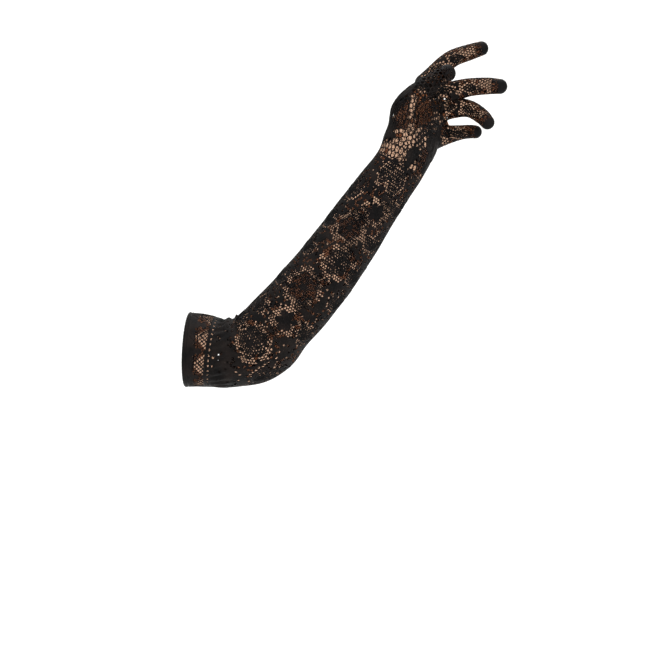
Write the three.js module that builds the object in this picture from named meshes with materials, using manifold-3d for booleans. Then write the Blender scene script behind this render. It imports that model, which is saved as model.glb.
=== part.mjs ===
// A long lace opera glove for the left hand, kept in its worn form and held at its arm opening.
// Units are millimetres. The origin is the centre of the arm opening, +Z is up and +X runs along
// the upper arm towards the elbow. The glove is a set of hollow walls on bent tubes: one trunk
// from the arm opening to the knuckles, four fingers and a thumb.
import * as THREE from 'three';
import { mergeVertices } from 'three/addons/utils/BufferGeometryUtils.js';
import Module from 'manifold-3d';

const wasm = await Module();
wasm.setup();

// Driving dimensions
const WALL = 1.2;
const GAP = 0.3;
const HEM_CORD = 2.4;
const BAND_END = 26;
const EYELET_ROW_END = 31;
const EYELET_WALL = 1.6;
const WRIST_END = 318;
const KNUCKLE_DOME = 10;
const FINGER_BACKSET = 2;
const MERGE_DISTANCE = 1e-4;

// Number of columns of the staggered lattice that carries each wall
const TRUNK_COLUMNS = 20;
const FINGER_COLUMNS = 10;
const HEM_SIDES = 6;

// Step between lattice rows along each stretch of the trunk
const SLEEVE_RUNS = [
  { from: EYELET_ROW_END + GAP, to: 80, step: 5.5 },
  { from: 80, to: WRIST_END, step: 9.5 },
];
const HAND_STEP = 8;
const FINGER_STEP = 6;
const TIP_STEP = 3.5;

// Share of a lattice cell that a pierced window takes
const WINDOW = 0.74;
const BAND_WINDOW = 0.66;

// Sections of the trunk: centre, half size across the arm in the X-Z plane, half size in depth,
// and the turn in degrees of the first towards the front (-Y)
const TRUNK_SECTIONS = [
  { name: 'rim', x: 0, y: 0, z: 0, wide: 39.5, deep: 41, turn: 0 },
  { name: 'band', x: 13.5, y: 0, z: -0.8, wide: 39, deep: 41, turn: 0 },
  { name: 'band_end', x: 26.4, y: 0, z: -2.6, wide: 37.4, deep: 40, turn: 0 },
  { name: 'crease', x: 38.2, y: 0, z: -3.7, wide: 36.2, deep: 39.5, turn: 0 },
  { name: 'above_elbow', x: 53.3, y: 0, z: -2.6, wide: 36.4, deep: 39, turn: 0 },
  { name: 'elbow', x: 69.4, y: 0, z: 1.7, wide: 37.4, deep: 38.5, turn: 0 },
  { name: 'below_elbow', x: 83.5, y: -2, z: 12.4, wide: 36.8, deep: 38, turn: 0 },
  { name: 'forearm_top', x: 96.6, y: -4, z: 25.2, wide: 36.4, deep: 38, turn: 0 },
  { name: 'forearm_full', x: 119.9, y: -8, z: 49, wide: 36, deep: 37.5, turn: 10 },
  { name: 'forearm_mid', x: 150, y: -13, z: 85.4, wide: 34.2, deep: 35.4, turn: 20 },
  { name: 'forearm_low', x: 177.8, y: -18, z: 123.1, wide: 31.8, deep: 32.2, turn: 30 },
  { name: 'above_wrist', x: 203.2, y: -22, z: 159.5, wide: 29.8, deep: 27.5, turn: 42 },
  { name: 'wrist', x: 227.9, y: -25, z: 193.7, wide: 30, deep: 23.5, turn: 50 },
  { name: 'heel', x: 237, y: -18, z: 213.7, wide: 35, deep: 21.5, turn: 53 },
  { name: 'palm', x: 247, y: -2, z: 237.7, wide: 40.4, deep: 18, turn: 55 },
  { name: 'knuckles', x: 259.9, y: 15, z: 260.2, wide: 37.5, deep: 12.8, turn: 55 },
];

// Folds of the inner elbow: place along the trunk, angle round it, depth, and half sizes
const FOLDS = [
  { along: 40, around: 5, depth: -1, length: 5, spread: 62 },
  { along: 48, around: 0, depth: 1.8, length: 4, spread: 50 },
  { along: 56, around: -4, depth: -0.9, length: 4, spread: 58 },
  { along: 66, around: 8, depth: 3, length: 6, spread: 45 },
  { along: 78, around: 12, depth: -0.6, length: 5, spread: 45 },
  { along: 88, around: 182, depth: 3.6, length: 20, spread: 42 },
];

// Joints of each digit from the hand to the tip: centre and radius. cap is the length of the
// dense toe before its round end, and dome the height of that end. The window rows place the
// pierced cells of its front and back on its own lattice.
const DIGITS = {
  index: {
    frontWindowRows: [3, 5, 7],
    backWindowRows: [8],
    cap: 5,
    dome: 7,
    joints: [
      { x: 254.3, y: 0, z: 282.2, radius: 10.4 },
      { x: 281.2, y: -4, z: 306.8, radius: 9 },
      { x: 301.7, y: -8, z: 313.9, radius: 8.2 },
      { x: 313.2, y: -11, z: 317, radius: 7.3 },
    ],
  },
  middle: {
    frontWindowRows: [5, 9],
    backWindowRows: [6],
    cap: 6,
    dome: 7.5,
    joints: [
      { x: 260.5, y: 9, z: 269, radius: 10.6 },
      { x: 295.5, y: 1, z: 277.2, radius: 9.4 },
      { x: 320, y: -10, z: 277.6, radius: 8.6 },
      { x: 332.4, y: -16, z: 276.2, radius: 7.6 },
    ],
  },
  ring: {
    frontWindowRows: [5, 7],
    backWindowRows: [6],
    cap: 4,
    dome: 7,
    joints: [
      { x: 264.2, y: 20, z: 254.3, radius: 10.2 },
      { x: 298.7, y: 9, z: 256.4, radius: 8.8 },
      { x: 313.9, y: -4, z: 246.3, radius: 8 },
      { x: 319.5, y: -12, z: 239, radius: 7.2 },
    ],
  },
  little: {
    frontWindowRows: [3, 5],
    backWindowRows: [4],
    cap: 3,
    dome: 6.5,
    joints: [
      { x: 261.5, y: 30, z: 227.5, radius: 12 },
      { x: 289.8, y: 22, z: 232.1, radius: 7.8 },
      { x: 301.5, y: 14, z: 232.3, radius: 7 },
      { x: 307.2, y: 9.5, z: 231.4, radius: 6.6 },
    ],
  },
  thumb: {
    frontWindowRows: [7, 13],
    backWindowRows: [10],
    cap: 8,
    dome: 8,
    joints: [
      { x: 233, y: -34, z: 206, radius: 14 },
      { x: 232.1, y: -46, z: 249.8, radius: 12 },
      { x: 256.3, y: -38, z: 273.9, radius: 10.2 },
      { x: 277.6, y: -27, z: 289.3, radius: 8.8 },
    ],
  },
};

// A flower of the lace on the lattice: six windows round a solid middle, in half columns and rows
const PETALS = [
  { column: 3, row: 1 },
  { column: 3, row: -1 },
  { column: -3, row: 1 },
  { column: -3, row: -1 },
  { column: 0, row: 2 },
  { column: 0, row: -2 },
];
const SLEEVE_FLOWERS = [
  { column: 11, row: 11 },
  { column: 31, row: 11 },
  { column: 1, row: 15 },
  { column: 21, row: 15 },
  { column: 10, row: 20 },
  { column: 30, row: 20 },
  { column: 0, row: 24 },
  { column: 20, row: 24 },
  { column: 11, row: 29 },
  { column: 31, row: 29 },
];
const HAND_FLOWERS = [
  { column: 19, row: 5 },
  { column: 37, row: 5 },
];
const FRONT_COLUMN = 5;
const BACK_COLUMN = 14;

const YARN = { color: 0x14110f, roughness: 0.82, metalness: 0 };
const DENSE_YARN = { color: 0x0b0a0a, roughness: 0.74, metalness: 0 };

// A bent tube through sections, with a round end past its last section.
class Limb {
  constructor(sections, domeLength, folds = []) {
    const centres = sections.map((s) => new THREE.Vector3(s.x, s.y, s.z));
    const sizes = sections.map((s) => new THREE.Vector3(s.wide, s.deep, s.turn));
    this.curve = new THREE.CatmullRomCurve3(centres, false, 'centripetal');
    this.sizes = new THREE.CatmullRomCurve3(sizes, false, 'catmullrom', 0.5);
    this.length = this.curve.getLength();
    this.domeLength = domeLength;
    this.folds = folds;
  }

  // How far the folds lift the wall at a place.
  foldAt(distance, angle) {
    let lift = 0;
    for (const fold of this.folds) {
      const turned = THREE.MathUtils.radToDeg(angle) - fold.around;
      const away = THREE.MathUtils.euclideanModulo(turned + 180, 360) - 180;
      const along = (distance - fold.along) / fold.length;
      lift += fold.depth * Math.exp(-(along ** 2) - (away / fold.spread) ** 2);
    }
    return lift;
  }

  // The point at a distance along the limb and an angle round it. Angle 0 is the upper side,
  // and a quarter turn is the front (-Y).
  at(distance, angle, offset) {
    const along = Math.min(distance, this.length);
    const bow = (Math.max(0, distance - this.length) / this.domeLength) * (Math.PI / 2);
    const t = this.curve.getUtoTmapping(along / this.length);
    const tangent = this.curve.getTangent(t);
    const depth = new THREE.Vector3(0, 1, 0);
    depth.addScaledVector(tangent, -tangent.y).normalize();
    const upper = new THREE.Vector3().crossVectors(tangent, depth);
    const size = this.sizes.getPoint(t);
    const turn = THREE.MathUtils.degToRad(size.z);
    const lift = offset + this.foldAt(distance, angle);
    const across = (size.x + lift) * Math.cos(bow) * Math.cos(angle - turn);
    const through = (size.y + lift) * Math.cos(bow) * Math.sin(angle - turn);
    return this.curve
      .getPoint(t)
      .addScaledVector(upper, across * Math.cos(turn) - through * Math.sin(turn))
      .addScaledVector(depth, -across * Math.sin(turn) - through * Math.cos(turn))
      .addScaledVector(tangent, (this.domeLength + offset) * Math.sin(bow));
  }
}

// Row places from one distance to another, at about the given step.
function rowsBetween(from, to, step) {
  const count = Math.max(1, Math.round((to - from) / step));
  return Array.from({ length: count + 1 }, (_, row) => from + ((to - from) * row) / count);
}

// The triangles of a staggered lattice: each corner is a half-column number and a row number.
function latticeTriangles(columns, rowCount) {
  const triangles = [];
  for (let row = 0; row + 1 < rowCount; row += 1) {
    for (let column = row % 2; column < 2 * columns; column += 2) {
      const here = { column, row };
      const next = { column: column + 2, row };
      const above = { column: column + 1, row: row + 1 };
      const aboveNext = { column: column + 3, row: row + 1 };
      triangles.push([here, next, above], [next, aboveNext, above]);
    }
  }
  return triangles;
}

function cornerKey(corner, columns) {
  const column = THREE.MathUtils.euclideanModulo(corner.column, 2 * columns);
  return `${column.toFixed(3)}:${corner.row.toFixed(3)}`;
}

function between(from, to, share) {
  return {
    column: from.column + (to.column - from.column) * share,
    row: from.row + (to.row - from.row) * share,
  };
}

// Turns lattice triangles into wall facets, leaving out a six-sided window round each corner
// in windows.
function pierceCorners(triangles, windows, columns) {
  const open = new Set(windows.map((corner) => cornerKey(corner, columns)));
  return triangles.flatMap((triangle) => {
    const first = triangle.findIndex((corner) => open.has(cornerKey(corner, columns)));
    if (first < 0) {
      return [triangle];
    }
    const centre = triangle[first];
    const left = triangle[(first + 1) % 3];
    const right = triangle[(first + 2) % 3];
    const innerLeft = between(centre, left, WINDOW);
    const innerRight = between(centre, right, WINDOW);
    return [[left, right, innerRight], [left, innerRight, innerLeft]];
  });
}

// Cuts a smaller triangle out of a lattice triangle.
function pierceTriangle(triangle, share) {
  const centre = {
    column: (triangle[0].column + triangle[1].column + triangle[2].column) / 3,
    row: (triangle[0].row + triangle[1].row + triangle[2].row) / 3,
  };
  return triangle.flatMap((corner, index) => {
    const next = triangle[(index + 1) % 3];
    const inner = between(centre, corner, share);
    const innerNext = between(centre, next, share);
    return [[corner, next, innerNext], [corner, innerNext, inner]];
  });
}

// A place on a limb for a lattice corner, with rows between two given ones spaced evenly.
function placeOf(limb, rows, columns, corner, offset) {
  const low = Math.min(Math.floor(corner.row), rows.length - 2);
  const distance = THREE.MathUtils.lerp(rows[low], rows[low + 1], corner.row - low);
  return limb.at(distance, (corner.column * Math.PI) / columns, offset);
}

// A closed geometry from a list of triangles of points, with merged corners and no slivers.
function geometryOf(faces) {
  const soup = new THREE.BufferGeometry().setFromPoints(faces.flat());
  const merged = mergeVertices(soup, MERGE_DISTANCE);
  const index = Array.from(merged.index.array);
  const kept = [];
  for (let i = 0; i < index.length; i += 3) {
    const [a, b, c] = index.slice(i, i + 3);
    if (a !== b && b !== c && c !== a) {
      kept.push(a, b, c);
    }
  }
  merged.setIndex(kept);
  return merged;
}

// A hollow wall on a limb: facets outside and inside, joined along every open edge.
function wallGeometry(limb, rows, columns, facets, thickness = WALL, lift = 0) {
  const outside = (corner) => placeOf(limb, rows, columns, corner, lift);
  const inside = (corner) => placeOf(limb, rows, columns, corner, lift - thickness);
  const edgeKey = (from, to) => `${cornerKey(from, columns)}|${cornerKey(to, columns)}`;
  const edges = new Map();
  const faces = [];
  for (const facet of facets) {
    faces.push(facet.map(outside), facet.map(inside).reverse());
    facet.forEach((corner, index) => {
      const next = facet[(index + 1) % 3];
      edges.set(edgeKey(corner, next), [corner, next]);
    });
  }
  for (const [from, to] of edges.values()) {
    if (!edges.has(edgeKey(to, from))) {
      faces.push([outside(to), outside(from), inside(from)]);
      faces.push([outside(to), inside(from), inside(to)]);
    }
  }
  return geometryOf(faces);
}

// A full body of a limb, used only to cut others: its first end is flat, its last end round.
function bodyGeometry(limb, rows, columns, offset) {
  const faces = latticeTriangles(columns, rows.length).map((triangle) =>
    triangle.map((corner) => placeOf(limb, rows, columns, corner, offset)),
  );
  const centre = limb.curve.getPoint(limb.curve.getUtoTmapping(rows[0] / limb.length));
  for (let column = 0; column < 2 * columns; column += 2) {
    const here = placeOf(limb, rows, columns, { column, row: 0 }, offset);
    const next = placeOf(limb, rows, columns, { column: column + 2, row: 0 }, offset);
    faces.push([next, here, centre]);
  }
  return geometryOf(faces);
}

function toSolid(geometry) {
  const mesh = new wasm.Mesh({
    numProp: 3,
    vertProperties: geometry.attributes.position.array,
    triVerts: new Uint32Array(geometry.index.array),
  });
  return new wasm.Manifold(mesh);
}

// The largest body of a solid as a geometry: a cut can leave crumbs inside the hollow.
function toGeometry(solid) {
  const bodies = solid.decompose().sort((a, b) => b.volume() - a.volume());
  const { vertProperties, triVerts } = bodies[0].getMesh();
  const geometry = new THREE.BufferGeometry();
  geometry.setAttribute('position', new THREE.BufferAttribute(vertProperties, 3));
  geometry.setIndex(new THREE.BufferAttribute(triVerts, 1));
  return geometry;
}

function flowerWindows(flowers) {
  return flowers.flatMap((flower) =>
    PETALS.map((petal) => ({
      column: flower.column + petal.column,
      row: flower.row + petal.row,
    })),
  );
}

function meshOf(name, geometry, finish) {
  const flat = geometry.toNonIndexed();
  flat.computeVertexNormals();
  const mesh = new THREE.Mesh(flat, new THREE.MeshStandardMaterial(finish));
  mesh.name = name;
  return mesh;
}

// The corded edge: a small round section carried round the first section of the trunk.
function cuffHem(trunk) {
  const sides = 2 * TRUNK_COLUMNS;
  const radius = HEM_CORD / 2;
  const point = (turn, side) => {
    const angle = (turn * 2 * Math.PI) / sides;
    const round = (side * 2 * Math.PI) / HEM_SIDES;
    const offset = radius * Math.cos(round) - WALL / 2;
    return trunk.at(radius + radius * Math.sin(round), angle, offset);
  };
  const faces = [];
  for (let turn = 0; turn < sides; turn += 1) {
    for (let side = 0; side < HEM_SIDES; side += 1) {
      const corners = [
        point(turn, side),
        point(turn + 1, side),
        point(turn + 1, side + 1),
        point(turn, side + 1),
      ];
      faces.push([corners[0], corners[1], corners[2]]);
      faces.push([corners[0], corners[2], corners[3]]);
    }
  }
  return meshOf('cuff_hem', geometryOf(faces), DENSE_YARN);
}

// The edge band: big net triangles with their points to the hem, each cut through at its
// three corners.
function cuffBand(trunk) {
  const rows = rowsBetween(HEM_CORD + GAP, BAND_END, (BAND_END - HEM_CORD - GAP) / 2);
  const netCells = new Set();
  for (let column = 0; column < 2 * TRUNK_COLUMNS; column += 4) {
    netCells.add(`${column},0,down`);
    netCells.add(`${column - 1},1,down`);
    netCells.add(`${column + 1},1,down`);
  }
  const facets = latticeTriangles(TRUNK_COLUMNS, rows.length).flatMap((triangle) => {
    const lowest = triangle.filter((corner) => corner.row === triangle[0].row);
    const pointsDown = lowest.length === 1;
    const column = THREE.MathUtils.euclideanModulo(triangle[0].column + 1, 2 * TRUNK_COLUMNS);
    const key = `${column - 1},${triangle[0].row},down`;
    return pointsDown && netCells.has(key) ? pierceTriangle(triangle, BAND_WINDOW) : [triangle];
  });
  return meshOf('cuff_band', wallGeometry(trunk, rows, TRUNK_COLUMNS, facets), YARN);
}

function eyeletRow(trunk) {
  const rows = rowsBetween(BAND_END + GAP, EYELET_ROW_END, EYELET_ROW_END);
  const facets = latticeTriangles(TRUNK_COLUMNS, rows.length);
  const lift = (EYELET_WALL - WALL) / 2;
  const geometry = wallGeometry(trunk, rows, TRUNK_COLUMNS, facets, EYELET_WALL, lift);
  return meshOf('eyelet_row', geometry, DENSE_YARN);
}

function sleeve(trunk) {
  const rows = SLEEVE_RUNS.flatMap((run, index) =>
    rowsBetween(run.from, run.to, run.step).slice(index === 0 ? 0 : 1),
  );
  const triangles = latticeTriangles(TRUNK_COLUMNS, rows.length);
  const facets = pierceCorners(triangles, flowerWindows(SLEEVE_FLOWERS), TRUNK_COLUMNS);
  return meshOf('sleeve', wallGeometry(trunk, rows, TRUNK_COLUMNS, facets), YARN);
}

function digitLimb({ joints, dome }) {
  const sections = joints.map(({ x, y, z, radius }) => {
    return { x, y, z, wide: radius, deep: radius, turn: 0 };
  });
  return new Limb(sections, dome);
}

function domeRows(limb, from, step) {
  const straight = rowsBetween(from, limb.length, step);
  const round = rowsBetween(limb.length, limb.length + limb.domeLength, step);
  return straight.concat(round.slice(1));
}

function digitTube(limb, digit, capStart) {
  const rows = rowsBetween(FINGER_BACKSET, capStart - GAP, FINGER_STEP);
  const triangles = latticeTriangles(FINGER_COLUMNS, rows.length);
  const front = digit.frontWindowRows.map((row) => ({ column: FRONT_COLUMN, row }));
  const back = digit.backWindowRows.map((row) => ({ column: BACK_COLUMN, row }));
  const windows = front.concat(back);
  const facets = pierceCorners(triangles, windows, FINGER_COLUMNS);
  return wallGeometry(limb, rows, FINGER_COLUMNS, facets);
}

function digitTip(limb, capStart) {
  const rows = domeRows(limb, capStart, TIP_STEP);
  return wallGeometry(limb, rows, FINGER_COLUMNS, latticeTriangles(FINGER_COLUMNS, rows.length));
}

function glove() {
  const group = new THREE.Group();
  const trunk = new Limb(TRUNK_SECTIONS, KNUCKLE_DOME, FOLDS);
  group.add(cuffHem(trunk), cuffBand(trunk), eyeletRow(trunk), sleeve(trunk));

  const palmRows = domeRows(trunk, WRIST_END + GAP, HAND_STEP);
  const palmTriangles = latticeTriangles(TRUNK_COLUMNS, palmRows.length);
  const palmFacets = pierceCorners(palmTriangles, flowerWindows(HAND_FLOWERS), TRUNK_COLUMNS);
  let hand = toSolid(wallGeometry(trunk, palmRows, TRUNK_COLUMNS, palmFacets));
  const palmKeepOut = toSolid(bodyGeometry(trunk, palmRows, TRUNK_COLUMNS, GAP));

  const keepOuts = [palmKeepOut];
  for (const [name, digit] of Object.entries(DIGITS)) {
    const limb = digitLimb(digit);
    const bodyRows = domeRows(limb, FINGER_BACKSET, FINGER_STEP);
    hand = hand.subtract(toSolid(bodyGeometry(limb, bodyRows, FINGER_COLUMNS, -WALL)));
    const capStart = limb.length - digit.cap;
    const tube = keepOuts.reduce(
      (solid, keepOut) => solid.subtract(keepOut),
      toSolid(digitTube(limb, digit, capStart)),
    );
    keepOuts.push(toSolid(bodyGeometry(limb, bodyRows, FINGER_COLUMNS, GAP)));
    const nodeName = name === 'thumb' ? 'thumb' : `${name}_finger`;
    group.add(meshOf(nodeName, toGeometry(tube), YARN));
    group.add(meshOf(`${name}_tip`, digitTip(limb, capStart), DENSE_YARN));
  }
  group.add(meshOf('hand', toGeometry(hand), YARN));
  return group;
}

export default glove();
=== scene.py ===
"""Looks of a long black floral lace glove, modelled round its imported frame.

Everything is laid out flat in millimetres, as knitted lace is charted, and then wrapped on the
glove's limbs: x runs round a limb, y along it from the arm opening, and z stands off its face.
"""
import logging
import math
from dataclasses import dataclass, field, replace
from enum import Enum

import bmesh
import bpy
import numpy as np
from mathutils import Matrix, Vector


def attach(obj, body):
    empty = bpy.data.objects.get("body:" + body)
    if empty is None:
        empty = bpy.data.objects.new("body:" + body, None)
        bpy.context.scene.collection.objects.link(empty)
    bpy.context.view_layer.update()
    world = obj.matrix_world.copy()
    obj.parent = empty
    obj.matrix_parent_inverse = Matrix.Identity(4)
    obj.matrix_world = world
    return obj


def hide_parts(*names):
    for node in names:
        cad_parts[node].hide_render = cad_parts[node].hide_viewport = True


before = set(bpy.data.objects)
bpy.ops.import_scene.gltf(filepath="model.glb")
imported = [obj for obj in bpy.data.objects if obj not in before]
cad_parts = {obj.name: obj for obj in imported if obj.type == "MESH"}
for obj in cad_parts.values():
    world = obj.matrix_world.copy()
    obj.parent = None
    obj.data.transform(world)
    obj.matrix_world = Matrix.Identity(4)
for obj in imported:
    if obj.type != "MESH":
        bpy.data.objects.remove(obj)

LOG = logging.getLogger("lace_glove")
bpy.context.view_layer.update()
MM = 0.001
WELD = 0.01 * MM

# Lengths along the trunk, in millimetres, as in the frame's pieces
HEM_END = 2.4
BAND_END = 26.0
EYELET_END = 31.0
WRIST = 318.0

# A digit's lace starts behind its first section, and from this depth on the hand's takes over
ROOT_DEPTH = 4.0

# The digits join the hand beyond this x and z, and the melting fades in over the next lengths
HAND_FROM_X, HAND_FROM_Z, MELT_FADE = 190, 195, 12

# A cord of the lace: its path and its half width
Cord = tuple[np.ndarray, float]


class Cell(Enum):
    """How a lace cell is knitted: laid solid, filled sheer, with a small hole, or open."""

    SOLID = 0
    SHEER = 1
    PINHOLE = 2
    NET = 3


@dataclass(frozen=True)
class Section:
    """One section of a limb: its centre, half sizes in millimetres and turn in degrees."""

    x: float
    y: float
    z: float
    wide: float
    deep: float
    turn: float = 0.0


@dataclass(frozen=True)
class Fold:
    """One fold of the inner elbow: place, angle in degrees, height and half sizes."""

    along: float
    around: float
    height: float
    length: float
    spread: float


TRUNK_SECTIONS = (
    Section(0, 0, 0, 39.5, 41),
    Section(13.5, 0, -0.8, 39, 41),
    Section(26.4, 0, -2.6, 37.4, 40),
    Section(38.2, 0, -3.7, 36.2, 39.5),
    Section(53.3, 0, -2.6, 36.4, 39),
    Section(69.4, 0, 1.7, 37.4, 38.5),
    Section(83.5, -2, 12.4, 36.8, 38),
    Section(96.6, -4, 25.2, 36.4, 38),
    Section(119.9, -8, 49, 36, 37.5, 10),
    Section(150, -13, 85.4, 34.2, 35.4, 20),
    Section(177.8, -18, 123.1, 31.8, 32.2, 30),
    Section(203.2, -22, 159.5, 29.8, 27.5, 42),
    Section(227.9, -25, 193.7, 30, 23.5, 50),
    Section(237, -18, 213.7, 35, 21.5, 53),
    Section(247, -2, 237.7, 40.4, 18, 55),
    Section(259.9, 15, 260.2, 37.5, 12.8, 55),
)
KNUCKLE_DOME = 10.0

FOLDS = (
    Fold(40, 5, -1, 5, 62),
    Fold(48, 0, 1.8, 4, 50),
    Fold(56, -4, -0.9, 4, 58),
    Fold(66, 8, 2, 6, 45),
    Fold(78, 12, -0.6, 5, 45),
    Fold(88, 182, 3.6, 20, 42),
)


def round_section(x: float, y: float, z: float, radius: float) -> Section:
    """A round section of a digit."""
    return Section(x, y, z, radius, radius)


def catmull_rom(points: np.ndarray, per_span: int, centripetal: bool) -> np.ndarray:
    """Samples a Catmull-Rom spline through points.

    Args:
        points: one row for each point.
        per_span: samples on each span.
        centripetal: spaces the knots by the root of the chord, or evenly if False.

    Returns:
        One row for each sample, the last point included.
    """
    first = 2 * points[0] - points[1]
    last = 2 * points[-1] - points[-2]
    p = np.vstack([first, points, last])
    rows = []
    for k in range(1, len(p) - 2):
        step = [1.0, 1.0, 1.0]
        if centripetal:
            step = [math.sqrt(np.linalg.norm(p[k + i] - p[k + i - 1])) for i in range(3)]
        a, b, c = step
        start = (p[k] - p[k - 1]) / a - (p[k + 1] - p[k - 1]) / (a + b) + (p[k + 1] - p[k]) / b
        end = (p[k + 1] - p[k]) / b - (p[k + 2] - p[k]) / (b + c) + (p[k + 2] - p[k + 1]) / c
        start, end = start * b, end * b
        t = (np.arange(per_span) / per_span)[:, None]
        rows.append(
            p[k] + start * t
            + (-3 * p[k] + 3 * p[k + 1] - 2 * start - end) * t**2
            + (2 * p[k] - 2 * p[k + 1] + start + end) * t**3
        )
    return np.vstack(rows + [points[-1:]])


@dataclass(eq=False)
class Limb:
    """A bent tube of the glove: the trunk from the arm opening to the knuckles, or a digit.

    Its dome is the length of the round end, and its wobble and gathers are heights of the wall.
    """

    GATHERS_ROUND = 26
    GATHERS_AT = 39
    GATHERS_REACH = 7
    SAMPLES = 24
    CHUNK = 4000

    name: str
    sections: tuple[Section, ...]
    dome: float
    folds: tuple[Fold, ...] = ()
    wobble: float = 0.25
    gathers: float = 0.0
    centres: np.ndarray = field(init=False)

    def __post_init__(self) -> None:
        """Samples the centre line, the frames and the sizes once."""
        places = np.array([(s.x, s.y, s.z) for s in self.sections], float)
        sizes = np.array([(s.wide, s.deep, s.turn) for s in self.sections], float)
        self.centres = catmull_rom(places, self.SAMPLES, True)
        self.sizes = catmull_rom(sizes, self.SAMPLES, False)
        steps = np.linalg.norm(np.diff(self.centres, axis=0), axis=1)
        self.reach = np.concatenate([[0.0], np.cumsum(steps)])
        self.length = float(self.reach[-1])
        tangent = np.gradient(self.centres, self.reach, axis=0)
        self.tangents = tangent / np.linalg.norm(tangent, axis=1)[:, None]
        depth = np.array([0.0, 1.0, 0.0]) - self.tangents[:, 1:2] * self.tangents
        self.depths = depth / np.linalg.norm(depth, axis=1)[:, None]
        self.uppers = np.cross(self.tangents, self.depths)

    def sampled(self, table: np.ndarray, along: np.ndarray) -> np.ndarray:
        """The rows of a table at distances along the limb."""
        return np.stack([np.interp(along, self.reach, c) for c in table.T], axis=1)

    def girth(self, along: np.ndarray) -> np.ndarray:
        """The length round the limb at distances along it."""
        size = self.sampled(self.sizes, np.clip(along, 0, self.length))
        return 2 * math.pi * np.sqrt((size[:, 0] ** 2 + size[:, 1] ** 2) / 2)

    def relief(self, along: np.ndarray, angle: np.ndarray) -> np.ndarray:
        """How far folds and the slack of the cloth lift the wall."""
        slack = np.sin(along / 11.0 + 2 * np.sin(angle)) * np.sin(3 * angle + along / 23.0)
        reach = (along - self.GATHERS_AT) / self.GATHERS_REACH
        gather = np.sin(self.GATHERS_ROUND * angle + 0.2 * along) * np.exp(-(reach**2))
        lift = self.wobble * slack + self.gathers * gather
        for fold in self.folds:
            away = (np.degrees(angle) - fold.around + 180) % 360 - 180
            reach = (along - fold.along) / fold.length
            lift = lift + fold.height * np.exp(-(reach**2) - (away / fold.spread) ** 2)
        return lift

    def at(self, along: np.ndarray, angle: np.ndarray, offset: np.ndarray) -> np.ndarray:
        """Points on the limb.

        Args:
            along: distances from the limb's start; past its length they climb the round end.
            angle: angles round it, from its upper side towards the front.
            offset: heights off the wall.

        Returns:
            One row of x, y and z for each place, in millimetres.
        """
        bow = np.clip((along - self.length) / self.dome, 0, 1) * math.pi / 2
        held = np.clip(along, 0, self.length)
        size = self.sampled(self.sizes, held)
        turn = np.radians(size[:, 2])
        lift = offset + self.relief(held, angle)
        across = (size[:, 0] + lift) * np.cos(bow) * np.cos(angle - turn)
        through = (size[:, 1] + lift) * np.cos(bow) * np.sin(angle - turn)
        up = across * np.cos(turn) - through * np.sin(turn)
        back = -across * np.sin(turn) - through * np.cos(turn)
        out = (self.dome + offset) * np.sin(bow) + np.minimum(along, 0)
        return (
            self.sampled(self.centres, held)
            + self.sampled(self.uppers, held) * up[:, None]
            + self.sampled(self.depths, held) * back[:, None]
            + self.sampled(self.tangents, held) * out[:, None]
        )

    def behind(self, points: np.ndarray) -> np.ndarray:
        """Whether points lie behind the root of a digit, where its lace hasn't begun."""
        return ((points - self.centres[0]) * self.tangents[0]).sum(1) < -ROOT_DEPTH

    def distance(self, points: np.ndarray) -> np.ndarray:
        """Rough distances from points to the limb's wall, below 0 inside."""
        result = np.empty(len(points))
        for start in range(0, len(points), self.CHUNK):
            part = points[start : start + self.CHUNK]
            gap = ((part[:, None, :] - self.centres[None, :, :]) ** 2).sum(2)
            near = gap.argmin(1)
            away = part - self.centres[near]
            turn = np.radians(self.sizes[near, 2])
            up = (away * self.uppers[near]).sum(1)
            back = (away * self.depths[near]).sum(1)
            x = up * np.cos(turn) - back * np.sin(turn)
            y = -up * np.sin(turn) - back * np.cos(turn)
            z = (away * self.tangents[near]).sum(1)
            wide, deep = self.sizes[near, 0], self.sizes[near, 1]
            long = np.where(near == 0, wide, self.dome)
            z = np.where((near == 0) & (z < 0) | (near == len(self.centres) - 1) & (z > 0), z, 0)
            k0 = np.sqrt((x / wide) ** 2 + (y / deep) ** 2 + (z / long) ** 2) + 1e-9
            k1 = np.sqrt((x / wide**2) ** 2 + (y / deep**2) ** 2 + (z / long**2) ** 2) + 1e-9
            result[start : start + self.CHUNK] = k0 * (k0 - 1) / k1
        return result


TRUNK = Limb("trunk", TRUNK_SECTIONS, KNUCKLE_DOME, FOLDS, 0.3, 0.8)
DIGITS = {
    "index": Limb("index", (
        round_section(254.3, 0, 282.2, 10.4),
        round_section(281.2, -4, 306.8, 9),
        round_section(301.7, -8, 313.9, 8.2),
        round_section(313.2, -11, 317, 7.3),
    ), 7),
    "middle": Limb("middle", (
        round_section(260.5, 9, 269, 10.6),
        round_section(295.5, 1, 277.2, 9.4),
        round_section(320, -10, 277.6, 8.6),
        round_section(332.4, -16, 276.2, 7.6),
    ), 7.5),
    "ring": Limb("ring", (
        round_section(264.2, 20, 254.3, 10.2),
        round_section(298.7, 9, 256.4, 8.8),
        round_section(313.9, -4, 246.3, 8),
        round_section(319.5, -12, 239, 7.2),
    ), 7),
    "little": Limb("little", (
        round_section(261.5, 30, 227.5, 12),
        round_section(289.8, 22, 232.1, 7.8),
        round_section(301.5, 14, 232.3, 7),
        round_section(307.2, 9.5, 231.4, 6.6),
    ), 6.5),
    "thumb": Limb("thumb", (
        round_section(233, -34, 206, 14),
        round_section(232.1, -46, 249.8, 12),
        round_section(256.3, -38, 273.9, 10.2),
        round_section(277.6, -27, 289.3, 8.8),
    ), 8),
}
CAP_LENGTHS = {"index": 5.0, "middle": 6.0, "ring": 4.0, "little": 3.0, "thumb": 8.0}


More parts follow.
